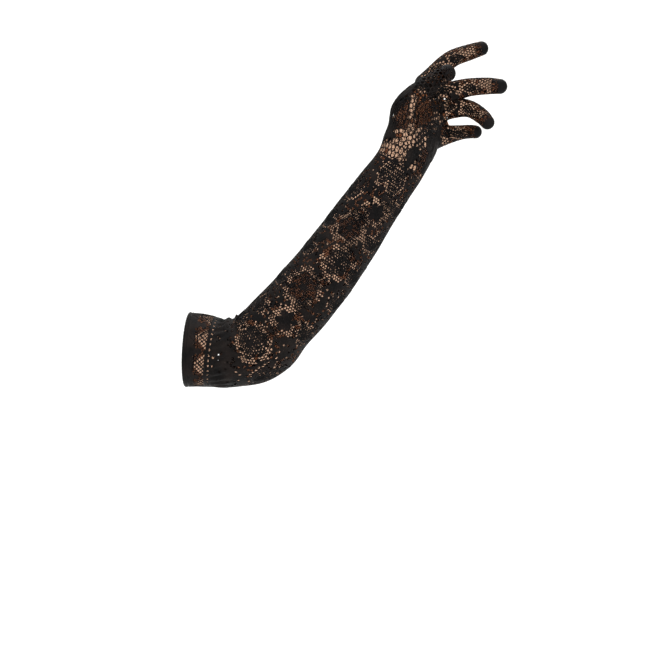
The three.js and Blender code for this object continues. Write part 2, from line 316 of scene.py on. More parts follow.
@dataclass
class Skin:
    """The glove's whole surface: every limb, melted into its neighbours at the webs."""

    limbs: tuple[Limb, ...]
    melt: float = 2.6

    def distances(self, points: np.ndarray) -> np.ndarray:
        """Distances from points to each limb, one column for each."""
        return np.stack([limb.distance(points) for limb in self.limbs], axis=1)

    def melted(self, points: np.ndarray) -> np.ndarray:
        """Distances to the smooth union of the limbs."""
        scaled = -self.distances(points) / self.melt
        top = scaled.max(1)
        return -self.melt * (top + np.log(np.exp(scaled - top[:, None]).sum(1)))

    def at_hand(self, points: np.ndarray) -> np.ndarray:
        """Whether points lie at the hand, where limbs meet."""
        return (points[:, 2] > HAND_FROM_Z) & (points[:, 0] > HAND_FROM_X)

    def wrap(self, limb: Limb, flat: np.ndarray, pitch: float, columns: int) -> np.ndarray:
        """Wraps flat points on a limb of the skin.

        Args:
            limb: the limb that the points lie on.
            flat: rows of x round, y along and z off the wall, in millimetres.
            pitch: flat width of a column.
            columns: columns that go once round the limb.

        Returns:
            Rows of x, y and z in millimetres.
        """
        angle = flat[:, 0] / (pitch * columns) * 2 * math.pi
        along = flat[:, 1]
        zero = np.zeros(len(flat))
        points = limb.at(along, angle, zero)
        normal = limb.at(along, angle, zero + 1) - points
        normal /= np.linalg.norm(normal, axis=1)[:, None] + 1e-9
        near = self.at_hand(points)
        if near.any():
            held = points[near]
            for _ in range(5):
                held = held - normal[near] * np.clip(self.melted(held), -3, 0.6)[:, None]
            share = np.clip((points[near][:, 2] - HAND_FROM_Z) / MELT_FADE, 0, 1)[:, None]
            points[near] = points[near] * (1 - share) + held * share
        return points + normal * flat[:, 2:3]

    def owned(self, limb: Limb, points: np.ndarray, margin: float) -> np.ndarray:
        """Whether points of a limb are its own.

        Args:
            limb: the limb that the points lie on.
            points: rows of x, y and z in millimetres.
            margin: how far into another limb they may lie, so that the two overlap.

        Returns:
            True for each point to keep.
        """
        mine = self.limbs.index(limb)
        result = np.ones(len(points), bool)
        near = self.at_hand(points)
        if near.any():
            gaps = self.distances(points[near])
            for k, other in enumerate(self.limbs):
                if k != mine:
                    gaps[other.behind(points[near]), k] = math.inf
            others = np.delete(gaps, mine, axis=1).min(1)
            result[near] = gaps[:, mine] <= others + margin
        return result


SKIN = Skin((TRUNK, *DIGITS.values()))


def unit_noise(a: np.ndarray, b: np.ndarray) -> np.ndarray:
    """A repeatable number from 0 to 1 for each pair of chart places."""
    wave = np.sin(a * 12.9898 + b * 78.233) * 43758.5453
    return wave - np.floor(wave)


class MotifKind(Enum):
    """The figures of the lace."""

    FLOWER = "flower"
    LEAF = "leaf"


@dataclass(frozen=True)
class Motif:
    """One figure on a limb: its place, its size in millimetres and its turn in degrees.

    Its halo is the width of the open net round it. A solid flower has slimmer petals.
    """

    kind: MotifKind
    around: float
    along: float
    size: float
    turn: float = 0.0
    fill: Cell = Cell.SHEER
    halo: float = 5.4

    PETALS = 6
    BUTTON = 0.17
    PETAL_WIDTH, SLIM_PETAL_WIDTH, LEAF_WIDTH = 0.43, 0.27, 0.25
    HEART, SLIM_HEART = 0.72, 0.45
    VEILED_HALO = 0.2

    def local(
        self, limb: Limb, angle: np.ndarray, along: np.ndarray
    ) -> tuple[np.ndarray, np.ndarray]:
        """Chart places as millimetres across and along the motif."""
        away = (angle - math.radians(self.around) + math.pi) % (2 * math.pi) - math.pi
        x = away * limb.girth(np.array([self.along]))[0] / (2 * math.pi)
        y = along - self.along
        c, s = math.cos(math.radians(self.turn)), math.sin(math.radians(self.turn))
        return x * c + y * s, -x * s + y * c

    def half_width(self, reach: np.ndarray) -> np.ndarray:
        """Half the width of a petal or leaf at shares of its length from 0 to 1."""
        share = np.clip(reach, 0, 1)
        if self.kind is MotifKind.FLOWER:
            width = self.SLIM_PETAL_WIDTH if self.fill is Cell.SOLID else self.PETAL_WIDTH
            return self.size * width * np.sin(math.pi * share**0.85) ** 0.7
        return self.size * self.LEAF_WIDTH * np.sin(math.pi * share**0.9) ** 0.8

    def cells(self, x: np.ndarray, y: np.ndarray) -> np.ndarray:
        """The kind of each cell at places in the motif, or -1 beyond it."""
        result = np.full(len(x), -1)
        if self.kind is MotifKind.FLOWER:
            rho = np.hypot(x, y)
            sector = 2 * math.pi / self.PETALS
            theta = (np.arctan2(y, x) + sector / 2) % sector - sector / 2
            lateral = np.abs(rho * np.sin(theta))
            reach = (rho / self.size - self.BUTTON) / (1 - self.BUTTON)
            inside = (lateral < self.half_width(reach)) & (reach > 0) & (reach < 1)
            lobe = 0.8 + 0.2 * np.cos(theta * math.pi / sector)
            patchy = unit_noise(np.round(x / 7 + self.along), np.round(y / 6 - self.around))
            halo = np.where(patchy < self.VEILED_HALO, Cell.SHEER.value, Cell.NET.value)
            near = rho < (self.size + self.halo) * lobe + self.halo * 0.3
            result = np.where(near, halo, result)
            result[inside] = self.fill.value
            heart = self.SLIM_HEART if self.fill is Cell.SOLID else self.HEART
            result[(rho < self.size * heart) & ~inside] = Cell.SOLID.value
            result[rho < self.size * self.BUTTON] = Cell.SOLID.value
            return result
        reach = x / self.size
        gap = np.abs(y) - self.half_width(reach)
        ends = (x > -self.halo) & (x < self.size + self.halo)
        result[ends & (gap < self.halo)] = Cell.NET.value
        result[(reach > 0) & (reach < 1) & (gap < 0)] = self.fill.value
        return result

    def leaf_lines(self, start: float) -> list[Cord]:
        """Outline, midrib and side ribs of one petal or leaf along +x from a start distance."""
        length = self.size - start
        t = np.linspace(0, 1, 15)
        w = self.half_width(t)
        x = start + length * t
        lines = [
            (np.stack([x, w], 1), 0.62),
            (np.stack([x, -w], 1), 0.62),
        ]
        ribs = (-0.6, -0.3, 0.0, 0.3, 0.6) if self.kind is MotifKind.FLOWER else (0.0,)
        for rib in ribs:
            cut = slice(1, 14) if rib else slice(0, 15)
            lines.append((np.stack([x[cut], w[cut] * rib], 1), 0.3))
        if self.kind is MotifKind.LEAF:
            for foot in np.arange(0.08, 0.8, 0.085):
                tip = min(foot + 0.16, 0.97)
                top = self.half_width(np.array([tip]))[0] * 0.97
                root = np.array([start + length * foot, 0.0])
                for side in (-1, 1):
                    end = np.array([start + length * tip, side * top])
                    lines.append((np.linspace(root, end, 5), 0.24))
        return lines

    def lines(self) -> list[Cord]:
        """Every cord of the motif in its own millimetres, with its half width."""
        if self.kind is MotifKind.LEAF:
            return self.leaf_lines(0.0)
        result = []
        for k in range(self.PETALS):
            turn = 2 * math.pi * k / self.PETALS
            spin = np.array([[math.cos(turn), math.sin(turn)], [-math.sin(turn), math.cos(turn)]])
            for path, half in self.leaf_lines(self.size * self.BUTTON):
                result.append((path @ spin, half))
        ring = np.linspace(0, 2 * math.pi, 17)
        for share in (0.9, 0.45):
            radius = self.size * self.BUTTON * share
            result.append((np.stack([radius * np.cos(ring), radius * np.sin(ring)], 1), 0.8))
        return result

    def placed(self, limb: Limb, path: np.ndarray) -> np.ndarray:
        """A path of the motif as angles round the limb and distances along it."""
        c, s = math.cos(math.radians(self.turn)), math.sin(math.radians(self.turn))
        x = path[:, 0] * c - path[:, 1] * s
        y = path[:, 0] * s + path[:, 1] * c
        round_limb = limb.girth(np.array([self.along]))[0] / (2 * math.pi)
        return np.stack([math.radians(self.around) + x / round_limb, self.along + y], 1)


def flower(
    around: float, along: float, size: float, turn: float = 0.0, fill: Cell = Cell.SHEER
) -> Motif:
    """A flower of the chart."""
    return Motif(MotifKind.FLOWER, around, along, size, turn, fill)


def leaf(
    around: float, along: float, size: float, turn: float = 0.0, fill: Cell = Cell.PINHOLE
) -> Motif:
    """A leaf of the chart, from its stalk."""
    return Motif(MotifKind.LEAF, around, along, size, turn, fill, 3.4)


def spray(around: float, along: float, size: float, turn: float) -> tuple[Motif, ...]:
    """Three leaves that fan from one stalk."""
    return tuple(leaf(around, along, size, turn + spread) for spread in (-48, 0, 48))


def both_faces(motifs: tuple[Motif, ...], shift: float) -> tuple[Motif, ...]:
    """A set of motifs with its mirror image on the other face of the glove.

    Args:
        motifs: the motifs of the front.
        shift: how far the back's motifs move along the limb.

    Returns:
        The motifs of both faces.
    """
    mirrored = tuple(
        replace(
            m, around=360 - m.around, turn=180 - m.turn, along=m.along + shift,
            fill=Cell.SHEER if m.kind is MotifKind.FLOWER else m.fill,
        )
        for m in motifs
    )
    return motifs + mirrored


SLEEVE_MOTIFS = both_faces((
    flower(84, 80, 19, 12, Cell.PINHOLE),
    flower(98, 124, 12, 30, Cell.SOLID),
    flower(82, 162, 17),
    flower(104, 204, 14, 20, Cell.PINHOLE),
    flower(84, 240, 13, 0),
    flower(112, 268, 10, 10, Cell.SOLID),
    leaf(82, 297, 24, 84, Cell.PINHOLE), leaf(116, 292, 28, 92, Cell.PINHOLE),
    *spray(22, 78, 20, 75), *spray(40, 108, 18, 100), *spray(24, 146, 19, 80),
    *spray(30, 190, 18, 95), *spray(26, 228, 18, 80), *spray(34, 266, 17, 90),
    *spray(152, 64, 19, 90), *spray(142, 118, 19, 75), *spray(158, 160, 19, 95),
    *spray(150, 192, 18, 80), *spray(146, 232, 18, 95), *spray(158, 274, 17, 85),
), 12)
HAND_MOTIFS_WITH_PAINTED_PALM_SHADE = (
    leaf(62, 346, 28, 80, Cell.PINHOLE), leaf(80, 346, 28, 98, Cell.PINHOLE),
    leaf(114, 318, 18, 90, Cell.SOLID), leaf(126, 330, 22, 96, Cell.PINHOLE),
    # Painted shade: the big solid leaves on the palm's lower side, from 152 to 196 degrees, are
    # lace figures laid dense black to stand for the shade over the palm
    leaf(150, 318, 28, 90, Cell.SHEER), leaf(170, 322, 28, 90, Cell.SOLID),
    leaf(196, 350, 46, 90, Cell.SOLID), leaf(184, 342, 56, 90, Cell.SOLID),
    leaf(170, 342, 56, 90, Cell.SOLID), leaf(152, 342, 30, 90, Cell.SOLID),
    leaf(140, 352, 48, 92, Cell.PINHOLE), leaf(126, 350, 46, 90, Cell.PINHOLE),
    leaf(112, 354, 42, 86, Cell.SHEER),
    leaf(28, 330, 26, 90), leaf(36, 366, 24, 84, Cell.SOLID),
    leaf(350, 340, 28, 96, Cell.SOLID), leaf(8, 368, 26, 90, Cell.SOLID),
    flower(262, 358, 16), leaf(228, 326, 24, 80), leaf(296, 322, 24, 100),
    leaf(232, 376, 22, 94), leaf(306, 374, 24, 80), leaf(258, 320, 16, 90, Cell.SOLID),
)
THUMB_MOTIFS = (
    leaf(76, 27, 30, 82, Cell.SHEER), leaf(104, 26, 31, 98, Cell.SHEER),
    leaf(12, 4, 42, 90, Cell.SOLID), leaf(20, 42, 36, 90, Cell.SOLID),
    leaf(350, 22, 48, 90, Cell.SOLID), leaf(340, 60, 30, 90, Cell.SOLID),
)


@dataclass(frozen=True)
class Chart:
    """A piece of lace chart: its motifs and what is knitted between them.

    The ground and the back hold two shares of the noise from 0 to 1: cells below the first are
    solid, those above the second are net, and those between are sheer. The front's figures are
    open, while the back and the limb's sides are knitted sheer, so that they read as a dark far
    wall. The gathers before dense_until are solid, and a limb is open all round from open_from.
    """

    FINE = 2

    motifs: tuple[Motif, ...]
    ground: tuple[float, float]
    back: tuple[float, float]
    clump: float = 2.0
    dense_until: float = 0.0
    open_from: float = math.inf
    side: float = 0.16
    gathers_open: float = 0.9

    def cells(self, limb: Limb, angle: np.ndarray, along: np.ndarray) -> np.ndarray:
        """The kind of the cell at each place of a limb."""
        around = angle * limb.girth(along) / (2 * math.pi)
        fine = unit_noise(np.round(around / self.FINE), np.round(along / self.FINE))
        coarse = unit_noise(np.round(around / self.clump), np.round(along / self.clump))
        patch = coarse * 0.8 + fine * 0.2
        front = (np.sin(angle) > 0) | (along > self.open_from)
        dense = np.where(front, self.ground[0], self.back[0])
        netted = np.where(front, self.ground[1], self.back[1])
        result = np.where(patch < dense, Cell.SOLID.value, Cell.SHEER.value)
        result = np.where(patch > netted, Cell.NET.value, result)
        marks = np.full(len(angle), -1)
        for motif in self.motifs:
            here = motif.cells(*motif.local(limb, angle, along))
            inside = (here >= 0) & (here != Cell.NET.value)
            halo = (here == Cell.NET.value) & (marks < 0)
            marks = np.where(inside | halo, here, marks)
        result = np.where(marks >= 0, marks, result)
        veiled = ~front | (np.abs(np.sin(angle)) < self.side)
        result = np.where(veiled & (result >= Cell.PINHOLE.value), Cell.SHEER.value, result)
        gathered = (along < self.dense_until) & (patch < self.gathers_open)
        return np.where(gathered, Cell.SOLID.value, result)


@dataclass(frozen=True)
class BandChart:
    """The edge band: big net triangles with their points to the hem, chevrons between.

    Lengths are along the limb. Each triangle runs from its point to its foot. The band is solid
    up to the bar, since the view passes by the far wall there.
    """

    repeats: int = 8
    point: float = 7.6
    foot: float = 24.6
    bar: float = 11.2
    stripe: float = 2.4
    slope: float = 12
    cord_room: float = 0.06
    hem_line: float = 4.6
    zigzag_half: float = 0.55

    def cells(self, limb: Limb, angle: np.ndarray, along: np.ndarray) -> np.ndarray:
        """The kind of the cell at each place of the band."""
        share = (angle / (2 * math.pi) * self.repeats) % 1.0
        away = np.abs(share - 0.5) * 2
        rise = (along - self.point) / (self.foot - self.point)
        net = (away < rise - self.cord_room) & (along > self.bar) & (along < self.foot)
        front = np.sin(angle) > 0
        chevron = np.floor((along - away * self.slope) / self.stripe) % 2 == 0
        stripes = np.where(chevron, Cell.SHEER.value, Cell.SOLID.value)
        dense = np.where(along > self.bar, stripes, Cell.SOLID.value)
        dense = np.where(net, Cell.NET.value, dense)
        result = np.where(front, dense, Cell.SHEER.value)
        return np.where(along > self.foot, Cell.SOLID.value, result)

    def lines(self) -> list[Cord]:
        """The zigzag cord and the two straight ones that edge it."""
        result = []
        turns = np.linspace(0, 2 * math.pi, 161)
        for height, half in ((self.hem_line, 0.7), (self.foot + 0.5, 0.8)):
            result.append((np.stack([turns, np.full(len(turns), height)], 1), half))
        for k in range(self.repeats):
            middle = 2 * math.pi * (k + 0.5) / self.repeats
            for side in (-1, 1):
                foot = middle + side * math.pi / self.repeats
                start = np.array([middle, self.point - 0.6])
                end = np.array([foot, self.foot])
                result.append((np.linspace(start, end, 9), self.zigzag_half))
        return result


HEXAGON = ((0, 2), (1, 1), (1, -1), (0, -2), (-1, -1), (-1, 1))
DIAMOND = ((0, 3), (1, 0), (0, -3), (-1, 0))


def new_object(name: str, bm: bmesh.types.BMesh) -> bpy.types.Object:
    """Makes a piece from a bmesh and gives it its body."""
    mesh = bpy.data.meshes.new(name)
    bm.to_mesh(mesh)
    bm.free()
    piece = bpy.data.objects.new(name, mesh)
    bpy.context.scene.collection.objects.link(piece)
    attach(piece, "root")
    return piece


def place_vertices(bm: bmesh.types.BMesh, points: np.ndarray) -> None:
    """Moves every vertex of a bmesh to a point in millimetres."""
    for vert, point in zip(bm.verts, points * MM):
        vert.co = Vector(point)


def flat_points(bm: bmesh.types.BMesh) -> np.ndarray:
    """The places of a bmesh's vertices, one row for each."""
    return np.array([vert.co[:] for vert in bm.verts])


def add_thickness(piece: bpy.types.Object, thickness: float) -> None:
    """Gives a net its yarn's thickness, in millimetres, half to each side."""
    solid = piece.modifiers.new("yarn", "SOLIDIFY")
    solid.thickness = thickness * MM
    solid.offset = 0.0
    solid.use_rim = True


@dataclass
class LacePatch:
    """A stretch of knitted lace round a limb, cell by cell.

    The margins are half the yarn between open cells, for each kind that is open. The stitch is
    the same for closed ones, which are puffed out a little. The seam is how far the patch
    reaches into a neighbour's.
    """

    PUFF = 0.12

    name: str
    limb: Limb
    start: float
    end: float
    columns: int
    row: float
    chart: Chart | BandChart
    margins: dict[Cell, float]
    template: tuple = HEXAGON
    thickness: float = 0.42
    pitch: float = 3.2
    stitch: float = 0.45
    seam: float = 2.2

    def build(self, node_slot: str = "lace_knit") -> bpy.types.Object:
        """Charts, knits and wraps the patch.

        Args:
            node_slot: not used.

        Returns:
            The finished piece.
        """
        rows = int(round((self.end - self.start) / self.row)) + 1
        j, i = [a.ravel() for a in np.mgrid[0:rows, 0 : self.columns]]
        column = 2 * i + j % 2
        angle = column * math.pi / self.columns
        along = self.start + j * (self.end - self.start) / (rows - 1)
        centres = np.stack([column * self.pitch / 2, along, np.zeros(len(along))], 1)
        wrapped = SKIN.wrap(self.limb, centres, self.pitch, self.columns)
        keep = SKIN.owned(self.limb, wrapped, self.seam)
        kinds = self.chart.cells(self.limb, angle, along)
        bm, faces = self.lattice(column[keep], j[keep], rows)
        for kind, margin in self.margins.items():
            chosen = [f for f, k in zip(faces, kinds[keep]) if k == kind.value]
            bmesh.ops.inset_individual(bm, faces=chosen, thickness=margin, use_even_offset=True)
            bmesh.ops.delete(bm, geom=chosen, context="FACES")
        finish = kinds + ((kinds == Cell.SHEER.value) & (np.sin(angle) < 0))
        for kind, stitch in ((Cell.SOLID, self.stitch), (Cell.SHEER, self.stitch / 2)):
            closed = [f for f, k in zip(faces, kinds[keep]) if k == kind.value]
            bmesh.ops.inset_individual(
                bm, faces=closed, thickness=stitch, depth=self.PUFF, use_even_offset=True,
            )
        for face, kind, slot in zip(faces, kinds[keep].tolist(), finish[keep].tolist()):
            if kind <= Cell.SHEER.value:
                face.material_index = slot
        points = SKIN.wrap(self.limb, flat_points(bm), self.pitch, self.columns)
        place_vertices(bm, points)
        bmesh.ops.remove_doubles(bm, verts=bm.verts, dist=WELD)
        piece = new_object(self.name, bm)
        add_thickness(piece, self.thickness)
        return piece

    def lattice(
        self, column: np.ndarray, row: np.ndarray, rows: int
    ) -> tuple[bmesh.types.BMesh, list[bmesh.types.BMFace]]:
        """The flat cells of the patch as joined faces.

        Args:
            column: the half column of each cell's middle.
            row: the row of each cell.
            rows: how many rows the patch has.

        Returns:
            The bmesh, and its faces in the order of the cells.
        """
        step = (self.end - self.start) / (rows - 1) / 3
        bm = bmesh.new()
        verts = {}
        faces = []
        for c, r in zip(column.tolist(), row.tolist()):
            ring = []
            for dx, dy in self.template:
                key = (c + dx, 3 * r + dy)
                if key not in verts:
                    y = min(max(self.start + key[1] * step, self.start), self.end)
                    verts[key] = bm.verts.new((key[0] * self.pitch / 2, y, 0.0))
                ring.append(verts[key])
            faces.append(bm.faces.new(ring[::-1]))
        bm.normal_update()
        return bm, faces


@dataclass
class CordWork:
    """Raised cords that outline and rib the figures of the lace on one limb.

    Each is laid flat on a chart of a round width, so that the wrap turns it round the limb.
    """

    CHART_WIDTH = 1000.0
    ROOT = 0.35
    SEAM = 0.6

    name: str
    limb: Limb
    paths: list[Cord]
    lift: float = 0.12
    rise: float = 0.5

    def build(self, node_slot: str = "dense_knit") -> bpy.types.Object:
        """Lays each cord as a small four-sided bar and wraps them all on the limb.

        Args:
            node_slot: not used.

        Returns:
            The finished piece.
        """
        rings, faces, base = [], [], 0
        for path, half in self.paths:
            rings.append(self.bar(path, half))
            faces += self.bar_faces(base, len(path))
            base += 4 * len(path)
        points = SKIN.wrap(self.limb, np.vstack(rings), self.CHART_WIDTH, 1)
        keep = SKIN.owned(self.limb, points, self.SEAM)
        mesh = bpy.data.meshes.new(self.name)
        kept = [f for f in faces if all(keep[v] for v in f)]
        mesh.from_pydata((points * MM).tolist(), [], kept)
        bm = bmesh.new()
        bm.from_mesh(mesh)
        bpy.data.meshes.remove(mesh)
        loose = [v for v in bm.verts if not v.link_faces]
        bmesh.ops.delete(bm, geom=loose, context="VERTS")
        bmesh.ops.holes_fill(bm, edges=bm.edges, sides=4)
        bmesh.ops.recalc_face_normals(bm, faces=bm.faces)
        return new_object(self.name, bm)

    def bar(self, path: np.ndarray, half: float) -> np.ndarray:
        """The four long edges of a cord's bar, laid flat.

        Args:
            path: angles round the limb and distances along it.
            half: half the cord's width in millimetres.

        Returns:
            Four rows of x, y and z for each place of the path.
        """
        flat = np.stack([path[:, 0] * self.CHART_WIDTH / (2 * math.pi), path[:, 1]], 1)
        way = np.gradient(self.true_size(path), axis=0)
        way /= np.linalg.norm(way, axis=1)[:, None] + 1e-9
        side = np.stack([-way[:, 1], way[:, 0]], 1) * half
        side[:, 0] *= self.CHART_WIDTH / self.limb.girth(np.clip(path[:, 1], 0, self.limb.length))
        lift = np.full((len(path), 1), self.lift)
        edges = [
            np.hstack([flat + side, lift]),
            np.hstack([flat, lift + min(self.rise, half)]),
            np.hstack([flat - side, lift]),
            np.hstack([flat, lift - self.ROOT]),
        ]
        return np.stack(edges, 1).reshape(-1, 3)

    def bar_faces(self, base: int, count: int) -> list[tuple[int, int, int, int]]:
        """The faces of a bar with a count of places and its first point at base, ends included."""
        faces = []
        for k in range(count - 1):
            for s in range(4):
                a, b = base + 4 * k + s, base + 4 * k + (s + 1) % 4
                faces.append((a, a + 4, b + 4, b))
        last = base + 4 * (count - 1)
        faces.append((base, base + 1, base + 2, base + 3))
        faces.append((last + 3, last + 2, last + 1, last))
        return faces

    def true_size(self, path: np.ndarray) -> np.ndarray:
        """A path of angles and distances as millimetres on the limb."""
        round_limb = self.limb.girth(np.clip(path[:, 1], 0, self.limb.length)) / (2 * math.pi)
        return np.stack([path[:, 0] * round_limb, path[:, 1]], 1)


def motif_paths(limb: Limb, motifs: tuple[Motif, ...]) -> list[Cord]:
    """Every cord of a set of motifs as angles round a limb and distances along it."""
    return [(m.placed(limb, path), half) for m in motifs for path, half in m.lines()]


NET_MARGINS = {Cell.NET: 0.54, Cell.PINHOLE: 0.9}
HAND_MARGINS = {Cell.NET: 0.6, Cell.PINHOLE: 1.3}
DIGIT_MARGINS = {Cell.NET: 0.5, Cell.PINHOLE: 0.9}
BAND_MARGINS = {Cell.NET: 0.46}


@dataclass
class Cuff:
    """The corded hem, the edge band of net triangles and the row of eyelets."""

    limb: Limb = TRUNK
    hem_radius: float = 1.35
    hem_turns: int = 180
    hem_sides: int = 12
    band_columns: int = 56
    band_row: float = 2.26
    eyelets: int = 40
    eyelet_margin: float = 1.75
    eyelet_row_thickness: float = 0.9

    def hem(self) -> bpy.types.Object:
        """The rolled edge, with the small bumps of its overlock stitches."""
        bm = bmesh.new()
        bmesh.ops.create_grid(bm, x_segments=self.hem_turns, y_segments=self.hem_sides, size=0.5)
        flat = flat_points(bm)
        turn = (flat[:, 0] + 0.5) * 2 * math.pi
        side = (flat[:, 1] + 0.5) * 2 * math.pi
        stitch = 0.08 * np.sin(turn * self.hem_turns / 3)
        radius = self.hem_radius + stitch
        along = self.hem_radius + radius * np.sin(side)
        flat = np.stack([turn, along, radius * np.cos(side) - 0.55], 1)
        place_vertices(bm, SKIN.wrap(self.limb, flat, 2 * math.pi, 1))
        bmesh.ops.remove_doubles(bm, verts=bm.verts, dist=WELD)
        bmesh.ops.recalc_face_normals(bm, faces=bm.faces)
        piece = new_object("hem_cord", bm)
        shade_smooth(piece)
        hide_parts("cuff_hem")
        return piece

    def band(self) -> list[bpy.types.Object]:
        """The band of diamond net and dense work, with its zigzag cords."""
        chart = BandChart()
        net = LacePatch(
            "band_net", self.limb, HEM_END - 0.6, BAND_END + 0.6, self.band_columns,
            self.band_row, chart, BAND_MARGINS, DIAMOND, 0.4, 4.5, 0.3,
        ).build()
        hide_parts("cuff_band")
        cords = CordWork("band_cords", self.limb, chart.lines(), 0.1, 0.5).build()
        return [net, cords]

    def eyelet_row(self) -> bpy.types.Object:
        """The beading row: a plain strip with an eyelet in each of its cells."""
        bm = bmesh.new()
        bmesh.ops.create_grid(bm, x_segments=self.eyelets, y_segments=1, size=0.5)
        pitch = self.limb.girth(np.array([EYELET_END]))[0] / self.eyelets
        for vert in bm.verts:
            vert.co.x = (vert.co.x + 0.5) * self.eyelets * pitch
            vert.co.y = BAND_END + 0.3 + (vert.co.y + 0.5) * (EYELET_END - BAND_END)
        holes = list(bm.faces)
        margin = self.eyelet_margin
        bmesh.ops.inset_individual(bm, faces=holes, thickness=margin, use_even_offset=True)
        bmesh.ops.delete(bm, geom=holes, context="FACES")
        bmesh.ops.subdivide_edges(bm, edges=bm.edges, cuts=1, smooth=0.6, use_grid_fill=True)
        place_vertices(bm, SKIN.wrap(self.limb, flat_points(bm), pitch, self.eyelets))
        bmesh.ops.remove_doubles(bm, verts=bm.verts, dist=WELD)
        piece = new_object("beading_row", bm)
        add_thickness(piece, self.eyelet_row_thickness)
        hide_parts("eyelet_row")
        return piece


@dataclass
class Sleeve:
    """The long lace tube from the eyelets over the elbow to the wrist."""

    limb: Limb = TRUNK
    columns: int = 72
    row: float = 2.75
    split: float = 172.0
    gathers: float = 50.0

    def build(self) -> list[bpy.types.Object]:
        """The upper and lower net and the cords of their flowers and leaves."""
        chart = Chart(
            SLEEVE_MOTIFS, (0.66, 0.93), (0.25, 0.96), dense_until=self.gathers,
        )
        pieces = []
        for name, start, end in (
            ("sleeve_upper_lace", EYELET_END - 0.4, self.split),
            ("sleeve_lower_lace", self.split, WRIST + 1.0),
        ):
            patch = LacePatch(
                name, self.limb, start, end, self.columns, self.row, chart, NET_MARGINS,
            )
            pieces.append(patch.build())
        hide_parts("sleeve")
        paths = motif_paths(self.limb, SLEEVE_MOTIFS)
        pieces.append(CordWork("sleeve_cords", self.limb, paths).build())
        return pieces


@dataclass
class Hand:
    """The hand's lace, which is stretched to a wider net over palm and back."""

    limb: Limb = TRUNK
    columns: int = 36
    row: float = 4.6
    pitch: float = 4.9
    dome_share: float = 0.98

    def build(self) -> list[bpy.types.Object]:
        """The net of the hand, open at the digits, and its cords."""
        end = self.limb.length + self.limb.dome * self.dome_share
        # The hand's solid palm-side leaves are painted shade
        chart = Chart(HAND_MOTIFS_WITH_PAINTED_PALM_SHADE, (0.12, 0.26), (0.1, 0.92), 7.0)
        net = LacePatch(
            "hand_lace", self.limb, WRIST, end, self.columns, self.row, chart, HAND_MARGINS,
            pitch=self.pitch,
        ).build()
        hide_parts("hand")
        paths = motif_paths(self.limb, HAND_MOTIFS_WITH_PAINTED_PALM_SHADE)
        return [net, CordWork("hand_cords", self.limb, paths).build()]


@dataclass
class Digit:
    """One finger or the thumb: a net tube and a dense closed toe."""

    name: str
    columns: int = 18
    row: float = 2.9
    root_rows: int = 2
    flat_girth: float = 61.2
    toe_turns: int = 24
    toe_rows: int = 12
    toe_sheer_rows: int = 6
    toe_thickness: float = 0.7
    lap: float = 0.6

    def build(self) -> list[bpy.types.Object]:
        """The tube, its cords and the toe."""
        limb = DIGITS[self.name]
        node = "thumb" if self.name == "thumb" else f"{self.name}_finger"
        cap = limb.length - CAP_LENGTHS[self.name]
        motifs = self.motifs(limb)
        chart = Chart(motifs, (0.2, 0.42), (0.1, 0.94), 5.0)
        if self.name == "thumb":
            chart = Chart(motifs, (0.05, 0.2), (0.3, 0.94), 6.0, open_from=74.0)
        root = -self.root_rows * self.row
        net = LacePatch(
            f"{self.name}_lace", limb, root, cap + self.lap, self.columns, self.row, chart,
            DIGIT_MARGINS, pitch=self.flat_girth / self.columns,
        ).build()
        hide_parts(node)
        cords = CordWork(f"{self.name}_cords", limb, motif_paths(limb, motifs)).build()
        return [net, cords, self.toe(limb, cap)]

    def motifs(self, limb: Limb) -> tuple[Motif, ...]:
        """A leaf and an open sprig on each face of a finger, or the thumb's own leaves."""
        if self.name == "thumb":
            return THUMB_MOTIFS
        figures = (leaf(100, limb.length * 0.5, 15, 84), leaf(78, 11, 15, 88, Cell.NET))
        return both_faces(figures, 0)

    def toe(self, limb: Limb, cap: float) -> bpy.types.Object:
        """The dense closed end, which is knitted without holes and starts sheer."""
        bm = bmesh.new()
        bmesh.ops.create_grid(bm, x_segments=self.toe_turns, y_segments=self.toe_rows, size=0.5)
        flat = flat_points(bm)
        x = (flat[:, 0] + 0.5) * 2 * math.pi
        y = cap + (flat[:, 1] + 0.5) * (limb.length + limb.dome - cap)
        points = SKIN.wrap(limb, np.stack([x, y, 0 * x], 1), 2 * math.pi, 1)
        place_vertices(bm, points)
        bm.faces.ensure_lookup_table()
        for face in bm.faces:
            line, place = divmod(face.index, self.toe_turns)
            thin = place % 3 > 0 if 2 * line < self.toe_sheer_rows else (line + place) % 2 == 0
            if thin and line < self.toe_sheer_rows:
                face.material_index = Cell.SHEER.value
        bmesh.ops.remove_doubles(bm, verts=bm.verts, dist=2 * WELD)
        bmesh.ops.recalc_face_normals(bm, faces=bm.faces)
        piece = new_object(f"{self.name}_toe", bm)
        add_thickness(piece, self.toe_thickness)
        shade_smooth(piece)
        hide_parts(f"{self.name}_tip")
        return piece


def shade_smooth(piece: bpy.types.Object) -> None:
    """Shades every face of a piece smooth."""
    for polygon in piece.data.polygons:
        polygon.use_smooth = True


def linear(code: str) -> tuple[float, float, float, float]:
    """Turns an sRGB hex colour into the linear one that shaders use."""
    channels = [int(code[i : i + 2], 16) / 255 for i in (1, 3, 5)]
    turned = [c / 12.92 if c <= 0.04045 else ((c + 0.055) / 1.055) ** 2.4 for c in channels]
    return (*turned, 1.0)


def add_node(tree: bpy.types.NodeTree, kind: str, settings: dict, links: dict) -> bpy.types.Node:
    """Adds a node with its settings and links.

    Args:
        tree: the node tree of a material.
        kind: the node's type name.
        settings: attributes by name, or input values by socket name.
        links: the output socket that feeds each named input.

    Returns:
        The new node.
    """
    node = tree.nodes.new(kind)
    for key, value in settings.items():
        if hasattr(node, key):
            setattr(node, key, value)
        else:
            node.inputs[key].default_value = value
    for key, output in links.items():
        tree.links.new(output, node.inputs[key])
    return node


